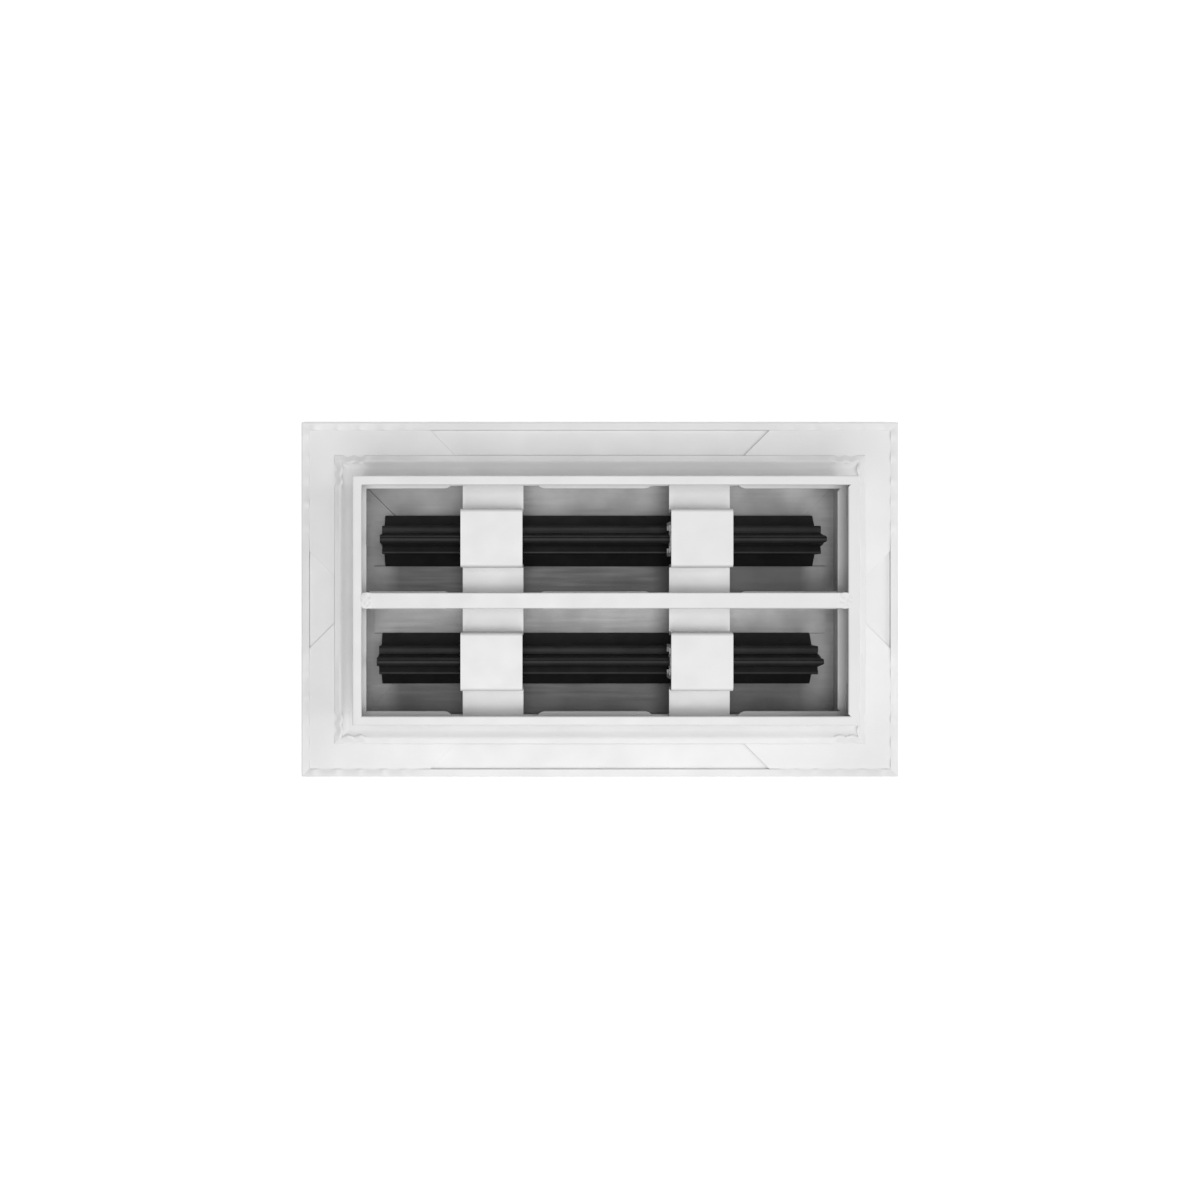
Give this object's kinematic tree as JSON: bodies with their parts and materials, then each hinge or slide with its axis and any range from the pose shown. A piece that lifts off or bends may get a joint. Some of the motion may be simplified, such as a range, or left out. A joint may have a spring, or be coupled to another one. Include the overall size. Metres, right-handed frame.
{
  "type": "linear slot air diffuser",
  "caption": "Flanged rectangular ceiling or wall air diffuser with slots beside a divider bar and swinging black deflector blades held in white clips.",
  "frame": {"origin": "centre of the outline, in the plane of the room face", "axes": "+X along the slots, +Y across them, +Z from the room face into the duct"},
  "size_m": [0.25, 0.1484, 0.038],
  "materials": {
    "white_frame_coat": "white powder coat, satin, on extruded aluminium; thin on the cavity lips",
    "white_key_coat": "white powder coat, satin, hammered down over the keys",
    "white_holder_coat": "white powder coat, satin, smooth",
    "black_blade_coat": "black coat, satin, with fine lines along the extrusion"
  },
  "bodies": {
    "housing": {"frame_front": "white_frame_coat", "frame_right": "white_frame_coat", "frame_rear": "white_frame_coat", "frame_left": "white_frame_coat", "divider_bar": "white_frame_coat", "flange_key_front_left": "white_key_coat", "flange_key_front_right": "white_key_coat", "flange_key_rear_right": "white_key_coat", "flange_key_rear_left": "white_key_coat", "neck_key_front_left": "white_key_coat", "neck_key_front_right": "white_key_coat", "neck_key_rear_right": "white_key_coat", "neck_key_rear_left": "white_key_coat", "holder_front_left": "white_holder_coat", "holder_front_right": "white_holder_coat", "holder_rear_left": "white_holder_coat", "holder_rear_right": "white_holder_coat"},
    "bead_blade_front": {"bead_blade_front": "black_blade_coat"},
    "socket_blade_front": {"socket_blade_front": "black_blade_coat"},
    "bead_blade_rear": {"bead_blade_rear": "black_blade_coat"},
    "socket_blade_rear": {"socket_blade_rear": "black_blade_coat"}
  },
  "joints": [
    {"name": "bead_blade_front_swing", "type": "hinge", "parent": "housing", "child": "bead_blade_front", "pos_m": [0, -0.02455, 0.0284], "axis": [-1, 0, 0], "range_deg": [0, 10]},
    {"name": "socket_blade_front_swing", "type": "hinge", "parent": "housing", "child": "socket_blade_front", "pos_m": [0, -0.02455, 0.0284], "axis": [1, 0, 0], "range_deg": [0, 10]},
    {"name": "bead_blade_rear_swing", "type": "hinge", "parent": "housing", "child": "bead_blade_rear", "pos_m": [0, 0.02455, 0.0284], "axis": [-1, 0, 0], "range_deg": [0, 10]},
    {"name": "socket_blade_rear_swing", "type": "hinge", "parent": "housing", "child": "socket_blade_rear", "pos_m": [0, 0.02455, 0.0284], "axis": [1, 0, 0], "range_deg": [0, 10]}
  ]
}
